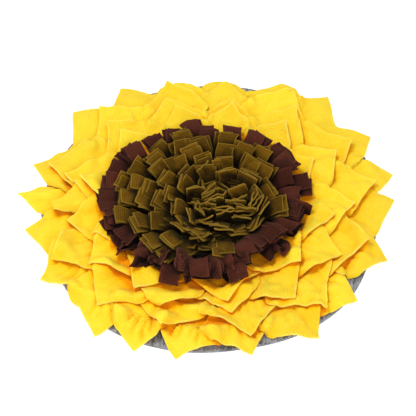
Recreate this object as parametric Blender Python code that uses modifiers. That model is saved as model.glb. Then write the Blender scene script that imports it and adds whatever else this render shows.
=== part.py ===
"""Sunflower snuffle mat: a round of thick grey felt that carries four rings of yellow fleece petals,
two rows of brown fleece strips and a dome of olive fleece strips. Every petal is a square of fleece
with one corner sewn down and the opposite corner pointing outwards. Every strip is sewn down by one end.

Metres, +Z up. The origin is the middle of the felt's underside, and bearing 0 is +X, growing towards +Y.
"""

import math
import random
from collections import namedtuple

import bmesh
import bpy
from mathutils import Vector

MM = 0.001
GAP = 0.3 * MM  # between two pieces that touch on the real mat

# The felt base.
FELT_THICKNESS = 7 * MM
FELT_EDGE_ROUND = 3 * MM
FELT_RIM_SEGMENTS = 3  # between two points of the rim
# Distance of the felt's edge from its middle, in mm, every 20 degrees from bearing 0.
FELT_REACH = (225, 232, 231, 227, 225, 224, 227, 226, 226, 228, 223, 226, 226, 222, 219, 224, 227, 223)

# The fleece, and the seat that all of it is sewn to.
FLEECE = 1.6 * MM
SEAT = FELT_THICKNESS + GAP
SEAM_HEIGHT = 2.2 * MM  # of the sewn strip that holds the roots of one ring
SEAM_INSET = 0.3 * MM  # how far its inner edge lies inwards of the roots
SEAM_SEGMENTS = 48
MERGE_DISTANCE = 0.01 * MM

# Petals. Each ring lies in a layer of its own, one layer height above the ring that it overlaps.
PETAL_WIDTH = 92 * MM
PETAL_CELLS = 4  # along each side of the square
ROOT_PLEAT = 0.4  # the pleated corner shortens the half next to the seam, the more the higher
SEAM_WIDTH = 9 * MM
RING_PITCH = 27 * MM  # from one ring's seam inwards to the next
OUTER_ROOT = 163 * MM
LAYER_HEIGHT = 7 * MM
LAP_RISE = 5.2 * MM  # how far a petal's free side lies above its tucked side
ROOT_FADE = 0.3  # share of the length over which the petal lifts off the seam
CROWN_END = 0.9  # share of the length at which the crown or trough has run out
LIFT_START = 0.5  # share of the length at which the tip starts to lift
DROOP_START = 234 * MM  # past the felt's edge the outer petals hang down
DROOP_SLOPE = 0.2

# Strips.
STRIP_WIDTH = 25 * MM
STRIP_ROOM = 0.8  # share of its place in the row that a strip may fill where it is gathered
STRIP_CELLS = 3  # along the length
CENTRE_REACH = 8 * MM  # strips this near the middle are flat, and the others curve round it
STRIP_TILT = 0.5 * MM  # how far one long edge stands above the other
SHORTEST_STRIP = 0.84  # share of the full length
BEARING_SCATTER = 0.08  # share of the space between two strips

# One row for each petal, going round its ring: bearing of the tip in degrees, distance of the tip from
# the mat's middle in mm, how many degrees further round the root is, rise of the petal's middle in mm,
# negative for a trough, and lift of its tip in mm.
Petal = namedtuple("Petal", "bearing reach swing crown lift")
OUTER_PETALS = (
    Petal(1, 247, -8, 0.6, 2), Petal(12, 257, 0, 0.6, 0), Petal(28, 258, 0, 1.4, 1),
    Petal(49, 263, -3, 0.6, 3), Petal(61, 249, 0, 0.2, 1), Petal(86, 236, 0, 1.5, 0),
    Petal(104, 240, 0, 1.5, 1), Petal(122, 251, 0, -1.2, 3), Petal(140, 262, 0, 1.2, 2),
    Petal(164, 257, 0, 0.6, 1), Petal(176, 261, 2, 0.6, 3), Petal(189, 249, 8, 0.1, 0),
    Petal(210, 249, -2, 1.2, 1), Petal(235, 246, -12, 0.5, 0), Petal(247, 242, -5, 0.4, 1),
    Petal(260, 237, 4, -1.2, 0), Petal(282, 234, -4, 1.4, 0), Petal(303, 243, -5, -0.8, 1),
    Petal(320, 239, -9, 1.0, 2), Petal(339, 245, -4, 1.0, 0),
)  # fmt: skip
SECOND_PETALS = (
    Petal(7, 225, 0, 1.0, 2), Petal(27, 222, 3, 1.4, 0), Petal(59, 231, 0, -1.0, 2),
    Petal(84, 217, 0, 1.5, 1), Petal(107, 225, 0, -1.0, 3), Petal(134, 231, 0, 1.0, 3),
    Petal(165, 231, -7, -1.2, 1), Petal(185, 216, 0, 1.2, 0), Petal(205, 225, 0, 1.0, 1),
    Petal(229, 216, 0, -1.4, 2), Petal(253, 209, 0, 1.5, 0), Petal(283, 213, 0, -1.0, 1),
    Petal(310, 222, 0, 1.4, 0), Petal(341, 217, -7, -1.0, 2),
)  # fmt: skip
THIRD_PETALS = (
    Petal(24, 190, -5, 1.0, 3), Petal(52, 196, 0, -1.0, 2), Petal(80, 175, 0, 1.4, 1),
    Petal(110, 187, 0, -1.0, 2), Petal(138, 196, 0, 1.4, 3), Petal(169, 201, 0, -1.0, 1),
    Petal(192, 192, 4, 0.8, 0), Petal(216, 189, 0, -1.0, 1), Petal(247, 188, 0, 1.5, 0),
    Petal(278, 179, 0, -1.0, 3), Petal(303, 191, -4, 1.4, 0), Petal(331, 191, -8, -1.2, 2),
    Petal(357, 191, -8, 1.0, 1),
)  # fmt: skip
INNER_PETALS = (
    Petal(24, 154, 0, 0.4, 2), Petal(50, 164, 0, -0.2, 3), Petal(79, 162, 0, 1.4, 2),
    Petal(108, 163, 0, -0.8, 3), Petal(139, 167, 7, 1.2, 2), Petal(173, 176, 0, -1.4, 1),
    Petal(203, 166, 0, 1.4, 3), Petal(237, 174, 0, -1.2, 1), Petal(277, 165, 0, 1.4, 2),
    Petal(315, 159, 0, -1.0, 3), Petal(348, 165, -5, 1.0, 0),
)  # fmt: skip

# From the edge inwards. The layer counts the rings beneath, and the turn says which side is tucked.
Ring = namedtuple("Ring", "node layer turn petals")
RINGS = (
    Ring("petals_outer", 0, 1, OUTER_PETALS),
    Ring("petals_second", 1, -1, SECOND_PETALS),
    Ring("petals_third", 2, 1, THIRD_PETALS),
    Ring("petals_inner", 3, -1, INNER_PETALS),
)

# One row for each row of strips, from the edge inwards: how many strips, and in mm the distance of the
# root from the middle, then the distance and height of the bend and of the tip.
StripRow = namedtuple("StripRow", "count root bend_reach bend_height reach height")
BROWN_ROWS = (
    StripRow(22, 70, 77, 19, 152, 35.5),
    StripRow(20, 64, 72, 24, 143, 38),
)
OLIVE_ROWS = (
    StripRow(20, 56, 67, 29, 124, 39),
    StripRow(20, 51, 62, 34, 115, 44),
    StripRow(17, 45, 56, 38, 103, 49.5),
    StripRow(16, 39, 50, 42, 92, 54),
    StripRow(13, 33, 43, 45, 79, 58),
    StripRow(11, 27, 35, 47, 65, 61),
    StripRow(8, 21, 27, 49, 50, 63.5),
    StripRow(6, 15, 19, 50, 35, 65.5),
    StripRow(4, 9, 12, 50, 21, 66.5),
    StripRow(2, 2, 3, 45, 7, 65),
)
BROWN_SEAM_REACH = (62.5 * MM, 73 * MM)  # inner and outer edge
OLIVE_PAD_REACH = 60 * MM
BROWN_SEED, OLIVE_SEED = 3, 5

Material = namedtuple("Material", "colour roughness")
GREY_FELT = Material((0.22, 0.22, 0.24, 1), 0.95)
YELLOW_FLEECE = Material((0.95, 0.68, 0.02, 1), 0.9)
BROWN_FLEECE = Material((0.09, 0.03, 0.022, 1), 0.9)
OLIVE_FLEECE = Material((0.14, 0.08, 0.01, 1), 0.9)


def clear_scene():
    for thing in list(bpy.data.objects):
        bpy.data.objects.remove(thing, do_unlink=True)


def new_collection(name):
    made = bpy.data.collections.new(name)
    bpy.context.scene.collection.children.link(made)
    return made


def cloth_material(name, finish):
    made = bpy.data.materials.new(name)
    made.use_nodes = True
    shader = made.node_tree.nodes["Principled BSDF"]
    shader.inputs["Base Color"].default_value = finish.colour
    shader.inputs["Roughness"].default_value = finish.roughness
    shader.inputs["Metallic"].default_value = 0
    return made


def soft_step(x):
    """0 below 0, 1 above 1 and an S-shaped rise between."""
    x = min(max(x, 0.0), 1.0)
    return x * x * (3 - 2 * x)


def felt_base(collection, material):
    """The felt's outline as a flat curve with a rounded edge."""
    curve = bpy.data.curves.new("base", "CURVE")
    curve.dimensions = "2D"
    curve.fill_mode = "BOTH"
    curve.resolution_u = FELT_RIM_SEGMENTS
    curve.extrude = FELT_THICKNESS / 2 - FELT_EDGE_ROUND
    curve.bevel_depth = FELT_EDGE_ROUND
    curve.bevel_resolution = 1
    curve.offset = -FELT_EDGE_ROUND
    rim = curve.splines.new("BEZIER")
    rim.use_cyclic_u = True
    rim.bezier_points.add(len(FELT_REACH) - 1)
    for index, reach in enumerate(FELT_REACH):
        bearing = 2 * math.pi * index / len(FELT_REACH)
        point = rim.bezier_points[index]
        point.co = (reach * MM * math.cos(bearing), reach * MM * math.sin(bearing), 0)
        point.handle_left_type = point.handle_right_type = "AUTO"
    base = bpy.data.objects.new("base", curve)
    base.location.z = FELT_THICKNESS / 2
    curve.materials.append(material)
    collection.objects.link(base)


def layer_floor(reach, ring):
    """Height of the underside of a ring's layer: it climbs over the seams of the rings beneath."""
    root = OUTER_ROOT - ring.layer * RING_PITCH
    climbed = min(max((reach - root) / RING_PITCH, 0), ring.layer)
    droop = max(reach - DROOP_START, 0) * DROOP_SLOPE
    return SEAT + LAYER_HEIGHT * climbed - droop


def plan_spot(reach, bearing):
    """The place, seen from above, at this distance from the middle and this bearing in degrees."""
    turn = math.radians(bearing)
    return Vector((reach * math.cos(turn), reach * math.sin(turn)))


def petal_point(side_a, side_b, petal, ring):
    """Place of a point of the cut square, from its sewn corner (0, 0) to its tip (1, 1)."""
    root = OUTER_ROOT - ring.layer * RING_PITCH
    across = side_a - side_b
    along = (side_a + side_b) / 2
    along *= 1 - ROOT_PLEAT * (1 - along)
    sideways = across * PETAL_WIDTH / 2
    tip = plan_spot(petal.reach * MM, petal.bearing)
    sewn = plan_spot(root, petal.bearing + petal.swing)
    place = sewn.lerp(tip, along) + sideways * (tip - sewn).normalized().orthogonal()
    lap = LAP_RISE / 2 * (min(along / ROOT_FADE, 1) + ring.turn * across)
    crown = petal.crown * MM * (1 - across**2) * math.sin(math.pi * min(along / CROWN_END, 1))
    lift = petal.lift * MM * soft_step((along - LIFT_START) / (1 - LIFT_START))
    height = layer_floor(place.length, ring) + FLEECE / 2 + lap + crown + lift
    return place.x, place.y, height


def strip_point(along, across, row, bearing, tilt):
    """Place of a point of a strip, from its sewn end 0 to its free end 1, across from -1 to 1."""
    start, bend, end = (1 - along) ** 2, 2 * along * (1 - along), along**2
    out = (start * row.root + bend * row.bend_reach + end * row.reach) * MM
    root_height = SEAT + FLEECE / 2
    height = start * root_height + (bend * row.bend_height + end * row.height) * MM
    sideways = across * min(STRIP_WIDTH, STRIP_ROOM * 2 * math.pi * out / row.count) / 2
    if out < CENTRE_REACH:
        turn, out = bearing + math.atan2(sideways, out), math.hypot(out, sideways)
    else:
        turn = bearing + sideways / out
    return out * math.cos(turn), out * math.sin(turn), height + across * tilt * along


def sheet_grid(cells_a, cells_b, place):
    """A grid of points over a unit square, each moved to where place(a, b) puts it."""
    grid = bmesh.new()
    bmesh.ops.create_grid(grid, x_segments=cells_a, y_segments=cells_b, size=0.5)
    for point in grid.verts:
        point.co = place(point.co.x + 0.5, point.co.y + 0.5)
    return grid


def petals_of(ring):
    for petal in ring.petals:
        yield sheet_grid(PETAL_CELLS, PETAL_CELLS, lambda a, b: petal_point(a, b, petal, ring))


def strips_of(rows, seed):
    dice = random.Random(seed)
    for number, row in enumerate(rows):
        space = 2 * math.pi / row.count
        for index in range(row.count):
            scatter = dice.uniform(-BEARING_SCATTER, BEARING_SCATTER)
            bearing = space * (index + number / 2 + scatter)
            length = dice.uniform(SHORTEST_STRIP, 1)
            tilt = dice.uniform(-STRIP_TILT, STRIP_TILT)
            yield sheet_grid(
                1, STRIP_CELLS, lambda a, b: strip_point(b * length, 2 * a - 1, row, bearing, tilt)
            )


def cloth_pieces(name, sheets, collection):
    """All sheets of one ring as loose pieces of fleece, ready to be joined to their seam."""
    mesh = bpy.data.meshes.new(name)
    together = bmesh.new()
    for sheet in sheets:
        sheet.to_mesh(mesh)
        sheet.free()
        together.from_mesh(mesh)
    together.to_mesh(mesh)
    together.free()
    pieces = bpy.data.objects.new(name, mesh)
    thickness = pieces.modifiers.new("fleece thickness", "SOLIDIFY")
    thickness.thickness = FLEECE
    thickness.offset = 0
    pieces.hide_render = True
    pieces.display_type = "WIRE"
    collection.objects.link(pieces)
    return pieces


def seam(name, inner, outer, pieces, collection, material):
    """The sewn strip that holds a ring's roots, turned from its section, with the cloth joined to it.
    With no inner reach it is a pad, and its section is left open along the middle."""
    low, high = SEAT, SEAT + SEAM_HEIGHT
    mesh = bpy.data.meshes.new(name)
    section = [(inner, high), (outer, high), (outer, low), (inner, low)]
    edges = [(0, 1), (1, 2), (2, 3)] + [(3, 0)] * (inner > 0)
    mesh.from_pydata([(reach, 0, height) for reach, height in section], edges, [])
    mesh.materials.append(material)
    sewn = bpy.data.objects.new(name, mesh)
    collection.objects.link(sewn)
    turned = sewn.modifiers.new("turned", "SCREW")
    turned.steps = turned.render_steps = SEAM_SEGMENTS
    turned.use_merge_vertices = True
    turned.merge_threshold = MERGE_DISTANCE
    joined = sewn.modifiers.new("joined", "BOOLEAN")
    joined.operation = "UNION"
    joined.solver = "EXACT"
    joined.use_self = True
    joined.object = pieces


def main():
    clear_scene()
    mat = new_collection("sunflower_snuffle_mat")
    loose = new_collection("loose_cloth")
    yellow = cloth_material("yellow_fleece", YELLOW_FLEECE)
    felt_base(mat, cloth_material("grey_felt", GREY_FELT))
    for ring in RINGS:
        root = OUTER_ROOT - ring.layer * RING_PITCH
        pieces = cloth_pieces(ring.node + "_loose", petals_of(ring), loose)
        seam(ring.node, root - SEAM_INSET, root + SEAM_WIDTH, pieces, mat, yellow)
    brown = cloth_pieces("brown_strips_loose", strips_of(BROWN_ROWS, BROWN_SEED), loose)
    brown_fleece = cloth_material("brown_fleece", BROWN_FLEECE)
    seam("brown_strips", *BROWN_SEAM_REACH, brown, mat, brown_fleece)
    olive = cloth_pieces("olive_strips_loose", strips_of(OLIVE_ROWS, OLIVE_SEED), loose)
    olive_fleece = cloth_material("olive_fleece", OLIVE_FLEECE)
    seam("olive_strips", 0, OLIVE_PAD_REACH, olive, mat, olive_fleece)


main()
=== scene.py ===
"""Sunflower snuffle mat: a round of thick grey felt with four rings of yellow fleece petals, a ring of
brown fleece strips and a dome of olive fleece strips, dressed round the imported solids.

Metres, +Z up. The origin is the middle of the felt's underside, and bearing 0 is +X, growing towards +Y.
"""

import math
import random
from collections import namedtuple

import bpy
import numpy as np
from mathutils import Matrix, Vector


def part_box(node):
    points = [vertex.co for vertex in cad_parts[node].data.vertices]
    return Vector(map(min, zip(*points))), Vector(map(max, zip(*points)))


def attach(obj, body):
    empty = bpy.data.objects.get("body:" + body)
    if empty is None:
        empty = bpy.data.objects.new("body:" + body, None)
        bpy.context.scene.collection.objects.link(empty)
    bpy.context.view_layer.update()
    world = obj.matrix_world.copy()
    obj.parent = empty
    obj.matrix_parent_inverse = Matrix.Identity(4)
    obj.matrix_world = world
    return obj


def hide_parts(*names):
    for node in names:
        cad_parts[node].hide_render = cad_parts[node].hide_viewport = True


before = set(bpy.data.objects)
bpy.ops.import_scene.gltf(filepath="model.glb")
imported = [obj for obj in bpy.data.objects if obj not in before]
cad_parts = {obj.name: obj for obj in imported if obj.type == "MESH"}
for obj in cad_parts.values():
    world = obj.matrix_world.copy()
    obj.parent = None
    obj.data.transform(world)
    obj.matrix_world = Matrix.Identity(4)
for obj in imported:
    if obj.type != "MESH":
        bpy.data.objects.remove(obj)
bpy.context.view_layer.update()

# ----------------------------------------
# Felt base. One round of thick pressed felt in heathered grey, cut by hand, so its rim wanders by a few
# millimetres. Everything else is sewn to it. Only its rim shows between the outer petals.
# ----------------------------------------
MM = 0.001
FELT_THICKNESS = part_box("base")[1].z
FELT_EDGE_ROUND = 2.6 * MM
FELT_RIM_POINTS = 216
FELT_RIM_INSET = 9 * MM  # of the outermost of three rings of faces, each twice as wide as the one before
FELT_SAG = 0.5 * MM  # unevenness of the felt's upper side
# Distance of the felt's edge from its middle, in mm, every 20 degrees from bearing 0.
FELT_REACH = (225, 232, 231, 227, 225, 224, 227, 226, 226, 228, 223, 226, 226, 222, 219, 224, 227, 223)


def felt_reach(bearing):
    """The rim's distance from the middle in metres, on a smooth closed curve through FELT_REACH."""
    count = len(FELT_REACH)
    place = (bearing / (2 * math.pi) * count) % count
    number, share = int(place), place % 1
    before, here, after, beyond = (FELT_REACH[(number + step) % count] for step in (-1, 0, 1, 2))
    rise = (after - before) / 2
    next_rise = (beyond - here) / 2
    cubic = 2 * share**3 - 3 * share**2 + 1, share**3 - 2 * share**2 + share
    next_cubic = 3 * share**2 - 2 * share**3, share**3 - share**2
    return MM * (cubic[0] * here + cubic[1] * rise + next_cubic[0] * after + next_cubic[1] * next_rise)


bpy.ops.object.select_all(action="DESELECT")
bpy.ops.mesh.primitive_cylinder_add(
    vertices=FELT_RIM_POINTS, radius=1, depth=FELT_THICKNESS, location=(0, 0, FELT_THICKNESS / 2)
)
felt = bpy.context.object
felt.name = "felt_base"
bpy.ops.object.transform_apply(location=True)
for point in felt.data.vertices:
    reach = felt_reach(math.atan2(point.co.y, point.co.x))
    point.co.x *= reach
    point.co.y *= reach
bpy.ops.object.mode_set(mode="EDIT")
bpy.ops.mesh.select_mode(type="EDGE")
bpy.ops.mesh.select_all(action="DESELECT")
bpy.ops.object.mode_set(mode="OBJECT")
for edge in felt.data.edges:
    low, high = (felt.data.vertices[end].co.z for end in edge.vertices)
    edge.select = abs(low - high) < FELT_THICKNESS / 2
bpy.ops.object.mode_set(mode="EDIT")
bpy.ops.mesh.bevel(offset=FELT_EDGE_ROUND, segments=4, profile=0.6)
bpy.ops.mesh.select_mode(type="FACE")
bpy.ops.mesh.select_all(action="DESELECT")
bpy.ops.object.mode_set(mode="OBJECT")
for face in felt.data.polygons:
    face.select = len(face.vertices) > 4
bpy.ops.object.mode_set(mode="EDIT")
for widening in (1, 2, 4):
    bpy.ops.mesh.inset(thickness=FELT_RIM_INSET * widening, use_individual=True)
bpy.ops.object.mode_set(mode="OBJECT")
for point in felt.data.vertices:
    if point.co.z > FELT_THICKNESS / 2:
        bearing = math.atan2(point.co.y, point.co.x)
        point.co.z += FELT_SAG * (math.sin(5 * bearing + 1) * math.sin(11 * bearing) - 1) / 2
bpy.ops.object.select_all(action="DESELECT")
felt.select_set(True)
bpy.context.view_layer.objects.active = felt
bpy.ops.object.shade_smooth_by_angle(angle=math.radians(50))

FELT_DARK = (0.075, 0.08, 0.088, 1)
FELT_LIGHT = (0.34, 0.35, 0.365, 1)
FELT_FIBRE = 420  # fibres to the metre across
FELT_FIBRE_STRETCH = 0.22
FELT_FIBRE_TURN = 0.6  # which way the fibres lie, in radians
FELT_CLOUDS = 90  # soft clouds to the metre
FELT_FIBRE_SHARE = 0.75  # of the mottle; the clouds make up the rest
FELT_ROUGHNESS = 0.95
FELT_BUMP, FELT_BUMP_DEPTH = 0.7, 0.6 * MM


def new_material(name, roughness, sheen, sheen_tint):
    """A cloth material: its tree, its shader and the Bump node that the shader takes its normal from."""
    material = bpy.data.materials.new(name)
    material.use_nodes = True
    tree = material.node_tree
    shader = tree.nodes["Principled BSDF"]
    shader.inputs["Roughness"].default_value = roughness
    shader.inputs["Specular IOR Level"].default_value = 0.08
    shader.inputs["Sheen Weight"].default_value = sheen
    shader.inputs["Sheen Roughness"].default_value = 0.6
    shader.inputs["Sheen Tint"].default_value = sheen_tint
    bump = tree.nodes.new("ShaderNodeBump")
    tree.links.new(bump.outputs["Normal"], shader.inputs["Normal"])
    return material, tree, shader, bump


def math_node(tree, operation, first, second=0.0):
    """A Math node whose inputs are sockets or plain numbers. It returns the node's result."""
    node = tree.nodes.new("ShaderNodeMath")
    node.operation = operation
    for place, value in enumerate((first, second)):
        if isinstance(value, (int, float)):
            node.inputs[place].default_value = value
        else:
            tree.links.new(value, node.inputs[place])
    return node.outputs[0]


def noise_node(tree, vector, scale, detail=2.0, roughness=0.5):
    """A Noise Texture read at vector. It returns the noise as a value round a half."""
    node = tree.nodes.new("ShaderNodeTexNoise")
    node.inputs["Scale"].default_value = scale
    node.inputs["Detail"].default_value = detail
    node.inputs["Roughness"].default_value = roughness
    tree.links.new(vector, node.inputs["Vector"])
    return node.outputs["Fac"]


def mix_colours(tree, share, first, second):
    """A Mix node between two colours, each a socket or a plain colour. It returns the mixed colour.
    The share and the two colours are the node's inputs 0, 6 and 7, and the colour is its output 2."""
    node = tree.nodes.new("ShaderNodeMix")
    node.data_type = "RGBA"
    for socket, value in ((node.inputs[0], share), (node.inputs[6], first), (node.inputs[7], second)):
        if isinstance(value, (int, float, tuple)):
            socket.default_value = value
        else:
            tree.links.new(value, socket)
    return node.outputs[2]


def map_range(tree, value, low, high, to_low=0.0, to_high=1.0):
    """A smooth step of value from low to high. It returns the result."""
    node = tree.nodes.new("ShaderNodeMapRange")
    node.interpolation_type = "SMOOTHSTEP"
    tree.links.new(value, node.inputs["Value"])
    for name, number in (("From Min", low), ("From Max", high), ("To Min", to_low), ("To Max", to_high)):
        node.inputs[name].default_value = number
    return node.outputs["Result"]


grey_felt, tree, shader, bump = new_material("grey_felt", FELT_ROUGHNESS, 0.2, (0.8, 0.8, 0.82, 1))
place = tree.nodes.new("ShaderNodeTexCoord").outputs["Object"]
fibre_lay = tree.nodes.new("ShaderNodeMapping")
fibre_lay.inputs["Scale"].default_value = (1, FELT_FIBRE_STRETCH, 1)
fibre_lay.inputs["Rotation"].default_value = (0, 0, FELT_FIBRE_TURN)
tree.links.new(place, fibre_lay.inputs["Vector"])
fibres = noise_node(tree, fibre_lay.outputs["Vector"], FELT_FIBRE, 3.0, 0.65)
clouds = noise_node(tree, place, FELT_CLOUDS)
fibre_shade = math_node(tree, "MULTIPLY", fibres, FELT_FIBRE_SHARE)
cloud_shade = math_node(tree, "MULTIPLY", clouds, 1 - FELT_FIBRE_SHARE)
mottle = math_node(tree, "ADD", fibre_shade, cloud_shade)
heathered = mix_colours(tree, map_range(tree, mottle, 0.36, 0.64), FELT_DARK, FELT_LIGHT)
tree.links.new(heathered, shader.inputs["Base Color"])
bump.inputs["Strength"].default_value = FELT_BUMP
bump.inputs["Distance"].default_value = FELT_BUMP_DEPTH
tree.links.new(mottle, bump.inputs["Height"])
felt.data.materials.clear()
felt.data.materials.append(grey_felt)
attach(felt, "root")
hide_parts("base")

# ----------------------------------------
# Yellow petals. Squares of yellow fleece, 75 mm a side, each with one corner pleated and sewn to the
# felt and the opposite corner pointing outwards. The outer ring is sewn down first and hangs over the
# rim. Each petal is laid on the cloth that is there already, so it rides over what lies beneath.
# ----------------------------------------
FLEECE = 2.1 * MM  # its thickness, nap and all
SEAM_GAP = 0.3 * MM  # between a sewn end and what it is sewn to
SEAT = FELT_THICKNESS + SEAM_GAP
# The pile is a height map of all the cloth laid so far, in square cells round the middle.
PILE_CELL = 1.5 * MM
PILE_REACH = 300 * MM
PILE_GAP = 0.6 * MM
SETTLE_STEPS = 30
SETTLE_FADE = 0.9  # share of a lift from below that passes on to the next points of a sheet
CREASE_FADE = 0.6  # the same once its creases are in, so that they stay crisp

pile_axis = (np.arange(int(2 * PILE_REACH / PILE_CELL)) + 0.5) * PILE_CELL - PILE_REACH
pile_x, pile_y = np.meshgrid(pile_axis, pile_axis, indexing="ij")
rim = np.vectorize(felt_reach)(np.arctan2(pile_y, pile_x))
pile = np.where(np.hypot(pile_x, pile_y) < rim, FELT_THICKNESS, 0.0)


def pile_cells(points):
    cells = ((points[..., :2] + PILE_REACH) / PILE_CELL).astype(int)
    return np.clip(cells, 1, len(pile_axis) - 2)


def mean_of_neighbours(values):
    wide = np.pad(values, 1, mode="edge")
    return (wide[:-2, 1:-1] + wide[2:, 1:-1] + wide[1:-1, :-2] + wide[1:-1, 2:]) / 4


def settle(points, gap=PILE_GAP, heed=1.0, fade=SETTLE_FADE, most=PILE_REACH):
    """Lifts a sheet's points clear of the pile, by no more than most. The lift is smoothed, as cloth can't
    follow a step. heed is the share of the pile's push that each point takes, 0 where its root holds it."""
    cells = pile_cells(points)
    beneath = np.full(points.shape[:2], -1.0)
    for step_x in (-1, 0, 1):
        for step_y in (-1, 0, 1):
            beneath = np.maximum(beneath, pile[cells[..., 0] + step_x, cells[..., 1] + step_y])
    needed = np.clip(beneath + gap + FLEECE / 2 - points[..., 2], 0, most) * heed
    lift = needed.copy()
    for _ in range(SETTLE_STEPS):
        lift = np.maximum(needed, mean_of_neighbours(lift) * fade)
    points[..., 2] += (lift + mean_of_neighbours(lift)) / 2
    return points


def pile_up(points):
    """Adds a laid sheet's upper side to the pile."""
    for _ in range(2):
        points = halve_steps(halve_steps(points).swapaxes(0, 1)).swapaxes(0, 1)
    cells = pile_cells(points)
    np.maximum.at(pile, (cells[..., 0], cells[..., 1]), points[..., 2] + FLEECE / 2)


def halve_steps(points):
    """Puts a point half way between each two rows."""
    finer = np.empty((2 * len(points) - 1, *points.shape[1:]))
    finer[::2] = points
    finer[1::2] = (points[:-1] + points[1:]) / 2
    return finer


def soft_step(x):
    x = np.clip(x, 0, 1)
    return x * x * (3 - 2 * x)


PETAL_SIDE = 75 * MM
PETAL_WIDTH = math.sqrt(2) * PETAL_SIDE
PETAL_CELLS = 30  # along each side of the square
ROOT_PLEAT = 0.27  # share by which the pleats shorten the cloth next to the root
RING_PITCH = 27 * MM  # from one ring's seam inwards to the next
OUTER_ROOT = 163 * MM
LAYER_HEIGHT = 5 * MM
RISE = 0.3  # share of a petal's length over which it rises from its root
CROWN_FALL, CROWN_FALL_START = 0.75, 0.55  # share of the rise that is lost by the tip, and from where
TIP_START = 0.5  # share of the length at which the tip starts to lift
DROOP_START = 232 * MM  # past the felt's edge the outer petals hang down
DROOP_SLOPE = 0.25
TUCK_RADIUS = 2.2 * MM
TUCK_CURVE, TUCK_SLACK = 0.16, 1.15  # how curved the folded line is, and how much cloth goes under
TUCK_START, TUCK_SPREAD = 0.3, 0.6  # shares of the length where a folded tip's height starts, and over which
SIDE_RADIUS = 7 * MM
SIDE_GATHER = 0.6  # the cloth past the turn is gathered to this share of its width
SIDE_TURN_LEAST, SIDE_TURN_MOST = 26 * MM, 53 * MM
SIDE_YIELD = 0.9  # share of the pile's push that a side past its turn gives way to
ROOT_WIDTH = 44 * MM  # of the pleated corner along the seam
ROOT_SPREAD, ROOT_END = 8, 1.4  # how soon it is full width, and how soon it runs out along the petal
EDGE_BOW, EDGE_WAVER = 2, 1.4 * MM  # of hand-cut edges: the most that they bow, in mm, and the waver
DENT_HEIGHT, WRINKLE_HEIGHT = 4.0 * MM, 1.6 * MM
WRINKLES = 2.2  # wrinkles to a dent
# The creases that fan out from a petal's root. Space and width are measured across the fan, the stray in
# spaces, and how far the creases rise, reach and fade in shares of the petal's length.
PLEATS, PLEAT_SPACE, PLEAT_WIDTH, PLEAT_STRAY = 4, 0.42, 0.15, 0.3
FAN_ROOT = 0.1  # how far behind the pinned root the creases meet
PLEAT_RISE, PLEAT_REACH, PLEAT_FADE = 0.15, 0.35, 0.25  # cloth puffs up between them, then dies away
PLEAT_DEPTH, PLEAT_END = (0.6, 1), (0.3, 0.6)  # least and most of a crease
PLEAT_PUFF = 1.25  # how high the cloth puffs up, to the pleats' depth
PLEAT_SIDE, PLEAT_SIDE_FADE = 0.95, 0.4  # where towards the side corners they end, and over which share
# What changes from the back of the mat to its front: the share at the back, and what the front adds.
RIPPLE_SHARE, FLARE_SHARE, DENT_SHARE = (0.5, -0.2), (1.7, -1.4), (0.4, 0.8)
RIPPLES = 1.1  # along a free edge
FLARE = (0.5, 4.5)  # least and most that a free edge turns up, in mm
OUTER_FLARE = 0.2  # share of it in the outer ring, which hangs over the rim

# One row for each petal, from the first one sewn: bearing of the tip in degrees, distance of the tip
# from the middle in mm, how many degrees further round the root is, then in mm the rise of the petal's
# middle, negative for a trough, the lift of the tip, and the lift of the corners ahead and behind. wave
# is the height of the ripples in its free edges, pleat the depth of the pleats at its root, in mm. tuck
# is the share of the petal that is folded under at the tip, and width its share of the full width.
Petal = namedtuple(
    "Petal",
    "bearing reach swing crown lift ahead behind wave pleat tuck width",
    defaults=(1.0, 1.5, 0.0, 1.0),
)
OUTER_PETALS = (
    Petal(86, 236, 0, 6.5, 0, 0, 0, tuck=0.2), Petal(104, 240, 0, 6.5, 0, 0, 0, tuck=0.2),
    Petal(122, 251, 0, 7.5, 2, 0, 0), Petal(61, 249, 0, 9.5, 1, 0, 0, tuck=0.1),
    Petal(49, 263, -3, 6.5, 2, 0, 0), Petal(12, 257, 0, 4, 0, 0, 0),
    Petal(28, 258, 0, 5, 1, 0, 2, wave=3),
    Petal(1, 247, -8, 4, 2, 0, 2), Petal(140, 262, 0, 6.5, 1, 0, 0, wave=0.5),
    Petal(176, 263, 7, 6, 4, -3, -3, width=0.7), Petal(164, 257, 0, 5, 1, 0, 1),
    Petal(189, 249, 8, 6, 0, 0, -2), Petal(210, 249, -2, 4, 1, 2, 0, wave=3, pleat=4),
    Petal(260, 237, 4, 3, 1.1, 1, 1.8, wave=4, pleat=7),
    Petal(235, 246, -12, 3, 1.2, 0, 1.2, wave=2, pleat=4),
    Petal(247, 242, -5, 4, 1.2, -1, -1, wave=2, pleat=7),
    Petal(282, 234, -4, 4, 1.1, 1, 1, wave=3, pleat=7),
    Petal(320, 239, -9, 3, 1.2, 1.2, 0, wave=4, pleat=5),
    Petal(303, 243, -5, 2, 1.2, 1.8, 1, wave=4, pleat=5),
    Petal(339, 245, -4, 4, 0, 2, 0, wave=3, pleat=4),
)  # fmt: skip
# A ring: how many rings lie beneath it, its petals, the seed of its random draws, how far in radians its
# petals' sides turn down, and the share of a petal's length that the next ring pins.
Ring = namedtuple("Ring", "layer petals seed side_angle pinned")


def soft_waves(first, second, size, dice):
    """A soft uneven swell over a sheet whose sides run from 0 to 1, of about this height."""
    swell = np.zeros_like(first)
    for _ in range(5):
        way, turns, phase = dice.uniform(0, math.pi), dice.uniform(0.8, 2.2), dice.uniform(0, 2 * math.pi)
        ridge = first * math.cos(way) + second * math.sin(way)
        swell += np.sin(2 * math.pi * turns * ridge + phase) / turns
    return size * swell / 2


def rising(pair, share):
    """The first value, and the second by its share."""
    return pair[0] + pair[1] * share


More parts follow.
